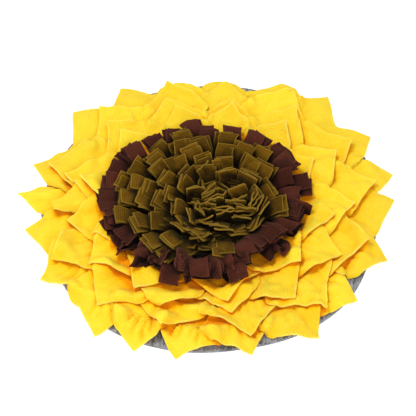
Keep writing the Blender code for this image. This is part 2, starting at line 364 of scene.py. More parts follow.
def side_turns(petal, ring):
    """How far from the petal's middle line each side turns down: half way to the next petal there."""
    root = OUTER_ROOT - ring.layer * RING_PITCH
    middle = root + 0.5 * (petal.reach * MM - root)
    turns = []
    for way in (1, -1):
        gaps = [(way * (other.bearing - petal.bearing)) % 360 for other in ring.petals if other is not petal]
        turn = math.radians(min(gaps)) / 2 * middle - SIDE_RADIUS / 2
        turns.append(min(max(turn, SIDE_TURN_LEAST), SIDE_TURN_MOST) * petal.width)
    return turns


def turned_down(distance, turn, arch, end):
    """A cross-section of the petal: the distance from the middle line along the cloth gives the distance
    in plan and the drop. The cloth arches a little, then turns down to the angle end."""
    distance = np.minimum(distance, turn) + np.maximum(distance - turn, 0) * SIDE_GATHER
    along_cloth = np.linspace(0, PETAL_WIDTH, 300)
    slope = arch * np.minimum(along_cloth / turn, 1) + np.clip((along_cloth - turn) / SIDE_RADIUS, 0, end)
    step = along_cloth[1]
    out = np.concatenate(([0], np.cumsum(np.cos(slope[:-1]) * step)))
    drop = np.concatenate(([0], np.cumsum(np.sin(slope[:-1]) * step)))
    return np.interp(distance, along_cloth, out), np.interp(distance, along_cloth, drop)


def rolled_tip(petal, along, across, length):
    """The distance out in plan and the drop of a petal whose tip may be rolled under along a curved line."""
    beyond = np.maximum(along + TUCK_CURVE * across**2 - (1 - petal.tuck), 0) * length * TUCK_SLACK
    roll = np.minimum(beyond / TUCK_RADIUS, math.pi)
    rest = np.maximum(beyond - math.pi * TUCK_RADIUS, 0)
    squeezed = along * (1 - ROOT_PLEAT * (1 - along))
    straight = squeezed * length - beyond
    return straight + TUCK_RADIUS * np.sin(roll) - rest, TUCK_RADIUS * (1 - np.cos(roll))


def petal_relief(petal, ring, ahead, behind, phases, dice):
    """The height of pleats that fan out from the root, of rippled and turned-up free edges and of dents."""
    across = ahead - behind
    beyond = (ahead + behind) / 2 - ring.pinned
    fan = across / (np.maximum(beyond, 0) + FAN_ROOT)
    crease = np.zeros_like(fan)
    for place in range(PLEATS):
        way = (place - (PLEATS - 1) / 2 + dice.uniform(-PLEAT_STRAY, PLEAT_STRAY)) * PLEAT_SPACE
        depth, end = dice.uniform(*PLEAT_DEPTH), dice.uniform(*PLEAT_END)
        valley = depth * np.exp(-(((fan - way) / PLEAT_WIDTH) ** 2)) * soft_step((end - beyond) / PLEAT_FADE)
        crease = np.maximum(crease, valley)
    puff = soft_step(beyond / PLEAT_RISE) * np.exp(-((np.maximum(beyond - PLEAT_RISE, 0) / PLEAT_REACH) ** 2))
    relief = petal.pleat * PLEAT_PUFF * MM * (1 - crease) * puff
    relief *= soft_step((PLEAT_SIDE - np.abs(across)) / PLEAT_SIDE_FADE)
    in_front = (1 - math.sin(math.radians(petal.bearing))) / 2
    for edge, way, phase in ((ahead, behind, phases[0]), (behind, ahead, phases[1])):
        ripple = rising(RIPPLE_SHARE, in_front) * petal.wave
        relief += ripple * MM * edge**4 * np.sin(2 * math.pi * RIPPLES * way + phase)
        flare = dice.uniform(*FLARE) * rising(FLARE_SHARE, in_front) * (1 if ring.layer else OUTER_FLARE)
        relief += flare * MM * edge**6
    dents = rising(DENT_SHARE, in_front)
    relief += soft_waves(ahead, behind, DENT_HEIGHT * dents, dice)
    relief += soft_waves(ahead * WRINKLES, behind * WRINKLES, WRINKLE_HEIGHT * dents, dice)
    return relief


def petal_grid(petal, ring, dice):
    """The petal's middle surface, laid on the pile: from its sewn corner (0, 0) to its tip (-1, -1)."""
    side = np.linspace(0, 1, PETAL_CELLS + 1)
    ahead, behind = np.meshgrid(side, side, indexing="ij")
    across = ahead - behind
    along = (ahead + behind) / 2
    root = OUTER_ROOT - ring.layer * RING_PITCH
    turn, root_turn = math.radians(petal.bearing), math.radians(petal.bearing + petal.swing)
    tip = np.array((math.cos(turn), math.sin(turn))) * petal.reach * MM
    sewn = np.array((math.cos(root_turn), math.sin(root_turn))) * root
    length = np.linalg.norm(tip - sewn)
    forward = (tip - sewn) / length
    sideways = np.array((-forward[1], forward[0]))
    out, drop = rolled_tip(petal, along, across, length)
    # The sides turn down between this petal and the next ones of its ring.
    distance = np.abs(across) * PETAL_WIDTH / 2 * petal.width
    turns = side_turns(petal, ring)
    arch = 2 * max(petal.crown, 1) * MM / turns[0]
    ahead_out, ahead_drop = turned_down(distance, turns[0], arch, ring.side_angle)
    behind_out, behind_drop = turned_down(distance, turns[1], arch, ring.side_angle)
    offset = np.where(across > 0, ahead_out, -behind_out)
    offset += np.tanh(ROOT_SPREAD * across) * ROOT_WIDTH / 2 * np.clip(1 - ROOT_END * along, 0, 1)
    drop += np.where(across > 0, ahead_drop, behind_drop)
    # The free edges bow and waver a little, as hand-cut cloth does. The first two of the four phases are
    # spare: they are drawn so that the later draws stay what they are.
    phases = [dice.uniform(0, 2 * math.pi) for _ in range(4)][2:]
    bow = dice.uniform(-EDGE_BOW, EDGE_BOW) * MM
    waver = soft_waves(ahead, behind, EDGE_WAVER, dice) + bow * np.sin(math.pi * along)
    offset += waver * (1 - across**2)
    plan = sewn + out[..., None] * forward + offset[..., None] * sideways
    reach = np.linalg.norm(plan, axis=-1)
    climbed = np.clip((reach - root) / RING_PITCH, 0, ring.layer)
    height = SEAT + FLEECE + LAYER_HEIGHT * climbed - np.maximum(reach - DROOP_START, 0) * DROOP_SLOPE
    crown_left = 1 - CROWN_FALL * soft_step((along - CROWN_FALL_START) / 0.5)
    height += petal.crown * MM * soft_step(along / RISE) * crown_left - drop
    height += petal.lift * MM * soft_step((along - TIP_START) / (1 - TIP_START))
    height += petal.ahead * MM * np.maximum(across, 0) ** 2
    height += petal.behind * MM * np.maximum(-across, 0) ** 2
    height += (2 * TUCK_RADIUS if petal.tuck else 0) * soft_step((along - TUCK_START) / TUCK_SPREAD)
    points = np.dstack((plan, height))
    turn = np.where(across > 0, turns[0], turns[1])
    settle(points, heed=1 - SIDE_YIELD * soft_step((distance - turn) / SIDE_RADIUS))
    points[..., 2] += petal_relief(petal, ring, ahead, behind, phases, dice)
    return settle(points, fade=CREASE_FADE)


def cloth_sheet(name, points, size, tint):
    """One loose sheet over a grid of points, with its cut size as its UV map and its tint as a value."""
    rows, columns = points.shape[0] - 1, points.shape[1] - 1
    bpy.ops.object.select_all(action="DESELECT")
    bpy.ops.mesh.primitive_grid_add(x_subdivisions=rows, y_subdivisions=columns, size=1)
    made = bpy.context.object
    made.name = name
    mesh = made.data
    flat = np.empty(len(mesh.vertices) * 3)
    mesh.vertices.foreach_get("co", flat)
    flat = flat.reshape(-1, 3)
    first = np.rint((flat[:, 0] + 0.5) * rows).astype(int)
    second = np.rint((flat[:, 1] + 0.5) * columns).astype(int)
    mesh.vertices.foreach_set("co", points[first, second].ravel())
    spread = np.empty(len(mesh.loops) * 2)
    mesh.uv_layers[0].uv.foreach_get("vector", spread)
    mesh.uv_layers[0].uv.foreach_set("vector", (spread.reshape(-1, 2) * size).ravel())
    shade = mesh.attributes.new("tint", "FLOAT", "POINT")
    shade.data.foreach_set("value", np.full(len(mesh.vertices), tint))
    return made


CUT_EDGE = 0.7 * MM  # how far a cut edge is rounded


def join_cloth(name, sheets):
    """Joins loose sheets to one piece and gives it the fleece's thickness and soft cut edges."""
    bpy.ops.object.select_all(action="DESELECT")
    for sheet in sheets:
        sheet.select_set(True)
    bpy.context.view_layer.objects.active = sheets[0]
    bpy.ops.object.join()
    piece = bpy.context.object
    piece.name = name
    thickness = piece.modifiers.new("fleece", "SOLIDIFY")
    thickness.thickness = FLEECE
    thickness.offset = 0
    bpy.ops.object.modifier_apply(modifier=thickness.name)
    soft_edge = piece.modifiers.new("cut edge", "BEVEL")
    soft_edge.width = CUT_EDGE
    soft_edge.segments = 2
    soft_edge.limit_method = "ANGLE"
    soft_edge.angle_limit = math.radians(60)
    bpy.ops.object.modifier_apply(modifier=soft_edge.name)
    bpy.ops.object.shade_smooth()
    return piece


def lay_ring(ring, name):
    """Lays the ring's petals one after the other and returns them as one piece."""
    dice = random.Random(ring.seed)
    sheets = []
    for number, petal in enumerate(ring.petals):
        points = petal_grid(petal, ring, dice)
        pile_up(points)
        sheets.append(cloth_sheet(f"{name}_{number}", points, PETAL_SIDE, dice.uniform(0, 1)))
    return join_cloth(name, sheets)


FUZZ, TUFTS, CLOUDS = 1500, 420, 45  # to the metre
RIB_PITCH = 2.5 * MM
RIB_BEND = 4 * MM  # how far the clouds bend a rib
RIB_HEIGHT, TUFT_HEIGHT, FUZZ_HEIGHT = 0.16, 0.9, 0.5  # shares of the bump
RIB_SHADE = 0.28  # share of the mottle that the ribs take
EDGE_HIGHLIGHT_SHARE = 0.8  # the most of its paler colour and painted highlight that a cut edge shows


def cloth_effect():
    """The look that all fleece here shares: fine ribs of the knit, a brushed nap, a paler cut edge with a
    painted highlight, and painted shade in its folds and pits. Width and Length are the cut sheet's, along
    its UV map."""
    group = bpy.data.node_groups.new("fleece", "ShaderNodeTree")
    for label in ("Colour", "Edge colour and highlight", "Painted fold shade", "Painted pit shade"):
        group.interface.new_socket(label, in_out="INPUT", socket_type="NodeSocketColor")
    for label in ("Width", "Length", "Mottle", "Pit shade sharpness"):
        group.interface.new_socket(label, in_out="INPUT", socket_type="NodeSocketFloat")
    group.interface.new_socket("Colour", in_out="OUTPUT", socket_type="NodeSocketColor")
    group.interface.new_socket("Height", in_out="OUTPUT", socket_type="NodeSocketFloat")
    given = group.nodes.new("NodeGroupInput")
    result = group.nodes.new("NodeGroupOutput")
    cut = group.nodes.new("ShaderNodeUVMap")
    cut.uv_map = "UVMap"
    sides = group.nodes.new("ShaderNodeSeparateXYZ")
    group.links.new(cut.outputs["UV"], sides.inputs["Vector"])
    width, length = sides.outputs["X"], sides.outputs["Y"]
    place = group.nodes.new("ShaderNodeTexCoord").outputs["Object"]
    # The nap: fine brushed fibres over soft clouds.
    fuzz = noise_node(group, place, FUZZ, 2.0, 0.6)
    tufts = noise_node(group, place, TUFTS, 2.0, 0.55)
    clouds = noise_node(group, place, CLOUDS)
    # The ribs of the knit, bent a little by the clouds.
    bent = math_node(group, "ADD", width, math_node(group, "MULTIPLY", clouds, RIB_BEND))
    turns = math_node(group, "DIVIDE", bent, RIB_PITCH)
    ribs = math_node(group, "SINE", math_node(group, "MULTIPLY", turns, 2 * math.pi))
    height = math_node(group, "MULTIPLY", ribs, RIB_HEIGHT)
    height = math_node(group, "ADD", height, math_node(group, "MULTIPLY", tufts, TUFT_HEIGHT))
    height = math_node(group, "ADD", height, math_node(group, "MULTIPLY", fuzz, FUZZ_HEIGHT))
    group.links.new(height, result.inputs["Height"])
    # The cut edge, paler where the fibres stand open, and with a painted highlight where light catches it.
    far = math_node(group, "SUBTRACT", given.outputs["Width"], width)
    ahead = math_node(group, "SUBTRACT", given.outputs["Length"], length)
    nearest_side = math_node(group, "MINIMUM", width, far)
    nearest_end = math_node(group, "MINIMUM", length, ahead)
    nearest = math_node(group, "MINIMUM", nearest_side, nearest_end)
    edge = map_range(group, nearest, 0.3 * MM, 1.8 * MM, 1.0, 0.0)
    edge = math_node(group, "MULTIPLY", math_node(group, "MULTIPLY", edge, clouds), EDGE_HIGHLIGHT_SHARE)
    # Each sheet has its own tint, and the tufts and the ribs shade it finely.
    tint = group.nodes.new("ShaderNodeAttribute")
    tint.attribute_name = "tint"
    shade = math_node(group, "SUBTRACT", tint.outputs["Fac"], 0.5)
    grain = math_node(group, "SUBTRACT", tufts, 0.5)
    rib_shade = math_node(group, "MULTIPLY", ribs, RIB_SHADE)
    light = 0.0
    for part in (shade, grain, rib_shade):
        light = math_node(group, "ADD", light, math_node(group, "MULTIPLY", part, given.outputs["Mottle"]))
    light = math_node(group, "ADD", light, 1.0)
    shaded = group.nodes.new("ShaderNodeVectorMath")
    shaded.operation = "SCALE"
    group.links.new(given.outputs["Colour"], shaded.inputs[0])
    group.links.new(light, shaded.inputs["Scale"])
    coloured = mix_colours(group, edge, shaded.outputs[0], given.outputs["Edge colour and highlight"])
    # Painted shade in the folds, and a darker painted shade in the deepest pits between them.
    fold = group.nodes.new("ShaderNodeAttribute")
    fold.attribute_name = "fold"
    coloured = mix_colours(group, fold.outputs["Fac"], coloured, given.outputs["Painted fold shade"])
    pit = math_node(group, "POWER", fold.outputs["Fac"], given.outputs["Pit shade sharpness"])
    coloured = mix_colours(group, pit, coloured, given.outputs["Painted pit shade"])
    group.links.new(coloured, result.inputs["Colour"])
    return group


fleece_effect = cloth_effect()
HORIZON_WAYS = 12
HORIZON_STEPS = (3, 5, 8, 12, 17)  # distances in mm at which the cloth round about is looked at
FOLD_SHADE_LEAST, FOLD_SHADE_MOST = 0.02, 0.5  # share of the sky hidden where the painted fold shade starts and is full


def paint_fold_shade(piece, power):
    """Gives each point, as the strength of its painted fold shade, the share of the sky that the cloth about
    it hides.
    """
    soft = mean_of_neighbours(pile)
    place = np.empty(len(piece.data.vertices) * 3)
    piece.data.vertices.foreach_get("co", place)
    place = place.reshape(-1, 3)
    hidden = np.zeros(len(place))
    for way in range(HORIZON_WAYS):
        turn = 2 * math.pi * way / HORIZON_WAYS
        steepest = np.zeros(len(place))
        for step in HORIZON_STEPS:
            cells = pile_cells(place[:, :2] + step * MM * np.array((math.cos(turn), math.sin(turn))))
            rise = soft[cells[:, 0], cells[:, 1]] - place[:, 2]
            steepest = np.maximum(steepest, rise / (step * MM))
        hidden += steepest**2 / (1 + steepest**2) / HORIZON_WAYS
    fold = np.clip((hidden - FOLD_SHADE_LEAST) / (FOLD_SHADE_MOST - FOLD_SHADE_LEAST), 0, 1) ** power
    piece.data.attributes.new("fold", "FLOAT", "POINT").data.foreach_set("value", fold)


FLEECE_ROUGHNESS = 0.92
FLEECE_BUMP_DEPTH = 0.8 * MM
# The colours of one fleece: its face, its cut edge with a painted highlight, and the painted shade of its
# folds and of its deepest pits.
Fleece = namedtuple("Fleece", "face edge fold pit")


def fleece_material(name, colours, pit_shade_sharpness, size, sheen, sheen_tint, mottle, bump_strength):
    """A fleece in these colours for sheets of this size. The sharper the painted pit shade, the fewer pits
    show.
    """
    material, tree, shader, bump = new_material(name, FLEECE_ROUGHNESS, sheen, sheen_tint)
    effect = tree.nodes.new("ShaderNodeGroup")
    effect.node_tree = fleece_effect
    for label, colour in zip(("Colour", "Edge colour and highlight", "Painted fold shade", "Painted pit shade"), colours):
        effect.inputs[label].default_value = colour
    effect.inputs["Pit shade sharpness"].default_value = pit_shade_sharpness
    effect.inputs["Width"].default_value, effect.inputs["Length"].default_value = size
    effect.inputs["Mottle"].default_value = mottle
    tree.links.new(effect.outputs["Colour"], shader.inputs["Base Color"])
    shader.inputs["Subsurface Weight"].default_value = 0.2
    shader.inputs["Subsurface Radius"].default_value = (1, 0.35, 0.05)
    shader.inputs["Subsurface Scale"].default_value = 5 * MM
    bump.inputs["Strength"].default_value = bump_strength
    bump.inputs["Distance"].default_value = FLEECE_BUMP_DEPTH
    tree.links.new(effect.outputs["Height"], bump.inputs["Height"])
    return material


# The fold and pit colours are painted shade, and the edge colour carries a painted highlight.
YELLOW = Fleece(
    face=(0.95, 0.68, 0.035, 1), edge=(1.0, 0.83, 0.2, 1),
    fold=(1.0, 0.53, 0.0, 1), pit=(0.92, 0.33, 0.0, 1),
)  # fmt: skip
yellow_fleece = fleece_material(
    "yellow_fleece",
    YELLOW,
    pit_shade_sharpness=12,
    size=(PETAL_SIDE, PETAL_SIDE),
    sheen=0.06,
    sheen_tint=(1, 0.9, 0.6, 1),
    mottle=0.16,
    bump_strength=0.9,
)


def finish_petals(piece, node):
    piece.data.materials.append(yellow_fleece)
    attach(piece, "root")
    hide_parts(node)


outer = lay_ring(Ring(0, OUTER_PETALS, 11, 2.2, 0.4), "outer_petals")
finish_petals(outer, "petals_outer")

# The second ring is sewn further in and lies on the outer one.
SECOND_PETALS = (
    Petal(84, 214, 0, 6, 1, -2, -2, tuck=0.06), Petal(107, 218, 0, 6, 2, -3, -2),
    Petal(134, 229, 0, 5.5, 2, -1, 0), Petal(59, 231, 0, 6.5, 0, -3, -2, tuck=0.08),
    Petal(27, 222, 3, 3, 0, 0, 0),
    Petal(165, 231, -7, 3, 1, 1, 0, pleat=3), Petal(7, 225, 0, 3, 1, 0, 1, pleat=3),
    Petal(187, 216, -12, 16, 9, -4, -4, tuck=0.1, width=0.8), Petal(341, 217, -7, 1, 2, 1, 0, pleat=3),
    Petal(205, 225, 0, 1, 2, 1, 1, wave=0.5, pleat=3),
    Petal(253, 209, 0, 0, 0.5, 0, 0, wave=0.8, pleat=3),
    Petal(229, 216, 0, -2, 0.4, 0.4, 0.4, wave=0.6, pleat=2),
    Petal(283, 213, 0, 0, 0.5, 0.4, 0.5, wave=1.2, pleat=3),
    Petal(310, 222, 0, 0, 0.3, 0.4, 0.4, wave=0.6, pleat=2.5),
)  # fmt: skip
second = lay_ring(Ring(1, SECOND_PETALS, 12, 1.3, 0.36), "second_petals")
finish_petals(second, "petals_second")

# The third ring.
THIRD_PETALS = (
    Petal(80, 175, 0, 5.5, 1, -1, -1, tuck=0.05), Petal(110, 187, 0, 5.5, 2, -2, 0),
    Petal(52, 196, 0, 5.5, 2, -2, -1),
    Petal(24, 190, -5, 3, 2, 0, 0), Petal(138, 196, 0, 5.5, 2, -2, 0), Petal(169, 201, 0, 2, 0, 0, 1),
    Petal(357, 191, -8, 2, 1, 0, 0, pleat=3), Petal(192, 192, 4, 3, 1, 1, 0),
    Petal(331, 191, -8, 1, 3, 0, 2, pleat=4),
    Petal(216, 189, 0, 0, 3, 0, 2, pleat=4), Petal(303, 191, -4, 0, 0.4, 0.4, 0, pleat=2.5),
    Petal(278, 179, 0, -2, 0.7, 0.5, 0.5, wave=1.6, pleat=3),
    Petal(247, 188, 0, 3, 0.4, 0.5, 0, tuck=0.12, pleat=2.5),
)  # fmt: skip
third = lay_ring(Ring(2, THIRD_PETALS, 13, 1.2, 0.3), "third_petals")
finish_petals(third, "petals_third")

# The inner ring, mostly hidden by the strips.
INNER_PETALS = (
    Petal(79, 162, 0, 5.5, 1, -1, -1), Petal(108, 163, 0, 4.5, 2, 0, 0),
    Petal(50, 164, 0, 4.5, 2, 0, 0, wave=0.5),
    Petal(139, 167, 7, 4.5, 2, 1, 0), Petal(24, 154, 0, 2, 2, 0, 0), Petal(173, 176, 0, 1, 1, 0, -1),
    Petal(348, 165, -5, 1, 3, 0, 1), Petal(203, 166, 0, 0, 5, 2, -4, wave=2),
    Petal(277, 165, 0, -2, 0.7, 0.5, 0.7, wave=1.6, pleat=2.5), Petal(237, 174, 0, 0, 0.3, 0.3, 0.5),
    Petal(315, 159, 0, 0, 0.4, 0.5, 0.3, wave=0.6),
)  # fmt: skip
inner = lay_ring(Ring(3, INNER_PETALS, 14, 1.1, 0.15), "inner_petals")
finish_petals(inner, "petals_inner")

# ----------------------------------------
# Brown strips. Strips of dark brown fleece, 25 mm wide and 60 mm long, sewn by one end in a ring just
# inside the inner petals. They stand up from the seam, bend over and lie out on the petals.
# ----------------------------------------
STRIP_WIDTH, STRIP_LENGTH = 25 * MM, 60 * MM
STRIP_CELLS, STRIP_LENGTH_CELLS = 4, 14
LEAN_CURVE = 1.3  # over 1, so a strip bends less at its seam than further out
TWIST_SCATTER = 0.3  # in radians, about the twist that its row of the table gives
STRIP_DRIFT, STRIP_WAVER = 5, 0.9 * MM  # most that a free end lies to one side, in mm, and the waver
STRIP_CURL = (-2.0, 2.5)  # least and most that the long edges curl up, in mm
CRUMPLE_HEIGHT = 1.2 * MM
STRIP_GATHER = 0.25  # share of its width that the seam takes
STRIP_GAP = 0.3 * MM  # between a strip and what it lies on
STRIP_LIFT = 6 * MM  # the most that a strip is lifted by those beneath; past it they press together
STAND, STAND_FADE = 0.35, 0.25  # share of a strip that the seam holds up, and over which it comes free
HEADING_SCATTER, LENGTH_SCATTER, LEAN_SCATTER = 5, 3, 4  # in a bundle, in degrees, mm and degrees


def strip_grid(root, heading, length, lean_low, lean_high, dice, crumple, twist):
    """A strip's middle surface: from its sewn end to its free end, and from one long edge to the other."""
    along, across = np.meshgrid(
        np.linspace(0, 1, STRIP_LENGTH_CELLS + 1), np.linspace(-1, 1, STRIP_CELLS + 1), indexing="ij"
    )
    leans = np.radians(lean_low + (lean_high - lean_low) * along[:, 0] ** LEAN_CURVE)
    step = length * MM / STRIP_LENGTH_CELLS
    out = np.concatenate(([0], np.cumsum(np.sin(leans[:-1]) * step)))[:, None]
    up = np.concatenate(([0], np.cumsum(np.cos(leans[:-1]) * step)))[:, None]
    forward = np.array((math.cos(heading), math.sin(heading), 0))
    sideways = np.array((-math.sin(heading), math.cos(heading), 0))
    upright = np.array((0, 0, 1))
    normal = np.sin(leans)[:, None, None] * upright - np.cos(leans)[:, None, None] * forward
    twist = (twist + dice.uniform(-TWIST_SCATTER, TWIST_SCATTER)) * along[..., None]
    cross = np.cos(twist) * sideways + np.sin(twist) * normal
    drift = dice.uniform(-STRIP_DRIFT, STRIP_DRIFT) * MM * along**2
    waver = soft_waves(along * 2, across * 0, STRIP_WAVER, dice)
    puff = dice.uniform(*STRIP_CURL) * MM * (across**2 - 0.4) * along
    puff += soft_waves(along * 2.4, across * 0.8, CRUMPLE_HEIGHT * crumple, dice) * along
    width = across * STRIP_WIDTH / 2 * (1 - STRIP_GATHER * (1 - along) ** 3)
    points = np.array((root[0], root[1], SEAT)) + out[..., None] * forward + up[..., None] * upright
    points = points + width[..., None] * cross + (drift + waver)[..., None] * sideways
    return points + puff[..., None] * normal


# A bundle of strips: where its first strip is sewn, which way it leans, how many strips it has, in mm
# the length above the seam, in degrees how far it leans from upright at the seam and at its free end,
# in mm the space from one strip to the next, how crumpled the strips are, and the twist in radians.
Bundle = namedtuple("Bundle", "root heading strips length lean_low lean_high pitch crumple twist")


def bundle_reaching(x, y, heading, strips, length, lean_low, lean_high, pitch, crumple, twist=0):
    """The bundle whose outermost free end is at (x, y) mm, so its root lies its overhang behind that."""
    turn = math.radians(heading)
    along = np.arange(STRIP_LENGTH_CELLS) / STRIP_LENGTH_CELLS
    leans = np.radians(lean_low + (lean_high - lean_low) * along**LEAN_CURVE)
    overhang = length * np.mean(np.sin(leans))
    root = np.array((x - overhang * math.cos(turn), y - overhang * math.sin(turn))) * MM
    return Bundle(root, turn, strips, length, lean_low, lean_high, pitch, crumple, twist)


def lay_bundle(bundle, dice, name, on_pile=True, most=STRIP_LIFT):
    """Sews down a bundle's strips, the outermost first. Those of upright bundles don't lie on the pile."""
    sheets = []
    free = soft_step((np.linspace(0, 1, STRIP_LENGTH_CELLS + 1) - STAND) / STAND_FADE)[:, None]
    forward = np.array((math.cos(bundle.heading), math.sin(bundle.heading)))
    for layer in range(bundle.strips):
        points = strip_grid(
            bundle.root - forward * layer * bundle.pitch * MM,
            bundle.heading + math.radians(dice.uniform(-HEADING_SCATTER, HEADING_SCATTER)),
            bundle.length + dice.uniform(-LENGTH_SCATTER, LENGTH_SCATTER),
            bundle.lean_low,
            bundle.lean_high + dice.uniform(-LEAN_SCATTER, LEAN_SCATTER),
            dice,
            bundle.crumple,
            bundle.twist,
        )
        if on_pile:
            settle(points, STRIP_GAP, free, most=most)
        pile_up(points)
        size = np.array((STRIP_LENGTH, STRIP_WIDTH))
        sheets.append(cloth_sheet(f"{name}_{layer}", points, size, dice.uniform(0, 1)))
    return sheets


# Two rows in front: how many bundles would fill the whole round, the strips to a bundle, in mm the
# distance of the seam from the ring's middle, and in degrees the lean at the seam and at the free end.
BROWN_ROWS = ((26, 1, 90, 40, 108), (25, 2, 83, 36, 102))
BROWN_CENTRE = np.array((-14, -7)) * MM
BROWN_LENGTH, STRAY_LENGTH = 57, 60  # above the seam, in mm
BROWN_PITCH, STRAY_PITCH = 3.0, 2.6  # mm
BROWN_LIFT, STRAY_LIFT = 1.6, 2  # the most that those beneath lift them, to STRIP_LIFT
# How far the bundles of a row differ: in spaces along the row, mm across it, degrees of heading, mm of
# length and degrees of the free end's lean.
SPACE_SCATTER, SEAM_SCATTER, WAY_SCATTER, ROW_LENGTH_SCATTER, END_SCATTER = 0.3, 4, 15, 3, 9
FRONT_LEAST = 0.3  # how far in front, from 0 at the sides to 1, a bundle of a row has to be
# What a bundle right in front has more than one at the side: mm of length, degrees of lean, which its
# seam has less and its free end more, crumpling, twist either way in radians, and lift.
FRONT_LENGTH, FRONT_LEAN, FRONT_CRUMPLE, FRONT_TWIST, FRONT_LIFT = 4, 24, 5.5, 1.5, 0.4
# More bundles in front and on the right: the bearing in degrees and the distance of the seam in
# mm, the strips, both leans in degrees, and the twist in radians.
STRAY_BROWN = (
    (354, 93, 1, 55, 92, 1.35),
    (292, 92, 1, 30, 108, 0.1), (252, 92, 1, 30, 112, -0.1), (268, 88, 2, 20, 112, 0.15),
    (302, 82, 2, 4, 118, 0.3), (313, 84, 2, 4, 120, -0.2), (323, 88, 2, 6, 116, 0.4),
    (333, 90, 1, 20, 110, 0.8),
)  # fmt: skip
# The bundles behind and at both sides: place of the free end in mm, heading in degrees, strips,
# both leans in degrees, and the twist in radians.
BACK_BROWN = (
    (-139, 45, 160, 3, 30, 98, 0.1), (-124, 70, 142, 3, 30, 98, 0), (-108, 74, 120, 3, 24, 92, 0),
    (-84, 94, 126, 2, 30, 94, -0.1), (-55, 108, 98, 3, 30, 94, 0.1), (-28, 120, 108, 3, 30, 92, 0),
    (31, 112, 84, 3, 30, 94, 0), (-4, 110, 92, 2, 30, 98, 0), (72, 102, 58, 3, 30, 96, 0),
    (101, 76, 42, 3, 30, 98, 0), (113, 52, 32, 3, 30, 98, 0), (133, 14, 6, 2, 36, 96, 0.2),
    (120, -40, 338, 3, 30, 100, 0), (-146, 10, 182, 3, 26, 96, -0.1), (-148, -14, 196, 2, 34, 100, 0),
    (-143, -34, 206, 2, 30, 100, 0.3), (108, 28, 18, 2, 30, 100, 0.8), (116, -14, 350, 2, 30, 106, 0.5),
)  # fmt: skip


def brown_row(row, dice, name):
    """The front of a round of bundles. The nearest the viewer crumple the most and hang furthest down."""
    count, strips, seam, lean_low, lean_high = row
    sheets = []
    places = list(range(count))
    dice.shuffle(places)
    for place in places:
        bearing = 2 * math.pi * (place + strips / 2 + dice.uniform(-SPACE_SCATTER, SPACE_SCATTER)) / count
        in_front = max(-math.sin(bearing), 0)
        if in_front < FRONT_LEAST:
            continue
        reach = (seam + dice.uniform(-SEAM_SCATTER, SEAM_SCATTER)) * MM
        bundle = Bundle(
            BROWN_CENTRE + reach * np.array((math.cos(bearing), math.sin(bearing))),
            bearing + math.radians(dice.uniform(-WAY_SCATTER, WAY_SCATTER) * (1 + in_front)),
            strips,
            BROWN_LENGTH + dice.uniform(-ROW_LENGTH_SCATTER, ROW_LENGTH_SCATTER) + FRONT_LENGTH * in_front,
            lean_low - FRONT_LEAN * in_front,
            lean_high + dice.uniform(-END_SCATTER, END_SCATTER) + FRONT_LEAN * in_front,
            BROWN_PITCH,
            1 + FRONT_CRUMPLE * in_front,
            dice.uniform(-FRONT_TWIST, FRONT_TWIST) * in_front,
        )
        most = STRIP_LIFT * (BROWN_LIFT + FRONT_LIFT * in_front)
        sheets += lay_bundle(bundle, dice, f"{name}_{place}", most=most)
    return sheets


# The fold and pit colours are painted shade, and the edge colour carries a painted highlight.
BROWN = Fleece(
    face=(0.062, 0.0145, 0.0075, 1), edge=(0.115, 0.036, 0.026, 1),
    fold=(0.016, 0.003, 0.002, 1), pit=(0.003, 0.001, 0.001, 1),
)  # fmt: skip
STRIP_SIZE = (STRIP_LENGTH, STRIP_WIDTH)
STRIP_LOOK = dict(pit_shade_sharpness=2.5, size=STRIP_SIZE, sheen=0.1, mottle=0.7, bump_strength=1.0)
brown_fleece = fleece_material("brown_fleece", BROWN, sheen_tint=(0.6, 0.35, 0.25, 1), **STRIP_LOOK)
dice = random.Random(21)
brown_sheets = []
for number, row in enumerate(BROWN_ROWS):
    brown_sheets += brown_row(row, dice, f"brown_{number}")
for number, (x, y, heading, strips, lean_low, lean_high, twist) in enumerate(BACK_BROWN):
    behind = bundle_reaching(x, y, heading, strips, BROWN_LENGTH, lean_low, lean_high, BROWN_PITCH, 1, twist)
    brown_sheets += lay_bundle(behind, dice, f"brown_back_{number}", most=BROWN_LIFT * STRIP_LIFT)
for number, (bearing, seam, strips, lean_low, lean_high, twist) in enumerate(STRAY_BROWN):
    turn = math.radians(bearing)
    root = BROWN_CENTRE + np.array((math.cos(turn), math.sin(turn))) * seam * MM
    stray = Bundle(root, turn, strips, STRAY_LENGTH, lean_low, lean_high, STRAY_PITCH, 1, twist)
    brown_sheets += lay_bundle(stray, dice, f"brown_stray_{number}", most=STRAY_LIFT * STRIP_LIFT)
brown = join_cloth("brown_strips_cloth", brown_sheets)
brown.data.materials.append(brown_fleece)
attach(brown, "root")
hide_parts("brown_strips")

# ----------------------------------------
# Olive strips. Bundles of the same strips in olive fleece fill the middle as a dome. The outer bundles
# lean out over the brown ones, and the nearer the middle, the steeper they stand.
# ----------------------------------------
OLIVE_BUNDLES = 52
OLIVE_CENTRE, OLIVE_HEART = np.array((-14, -10)) * MM, np.array((14, -30)) * MM
OLIVE_REACH = 81 * MM  # of the outermost seam
HEART_REACH = 34 * MM  # inside it the bundles are listed one by one
OLIVE_LENGTH, HEART_LENGTH, DEEP_LENGTH = 59, 56, 42  # above the seam, in mm
OLIVE_LENGTH_SCATTER = (-3, 2)  # mm
OLIVE_PITCH, HEART_PITCH = 3.0, 3.6  # mm
LOW_LEAN, HIGH_LEAN = (2, 22), (24, 72)  # degrees at the heart, at both ends, and what the rim adds
HIGH_LEAN_SCATTER = 5
OLIVE_TURN = (14, 40)  # the most that a heading strays at the rim, in degrees, and what the heart adds
OLIVE_CRUMPLE = 0.8
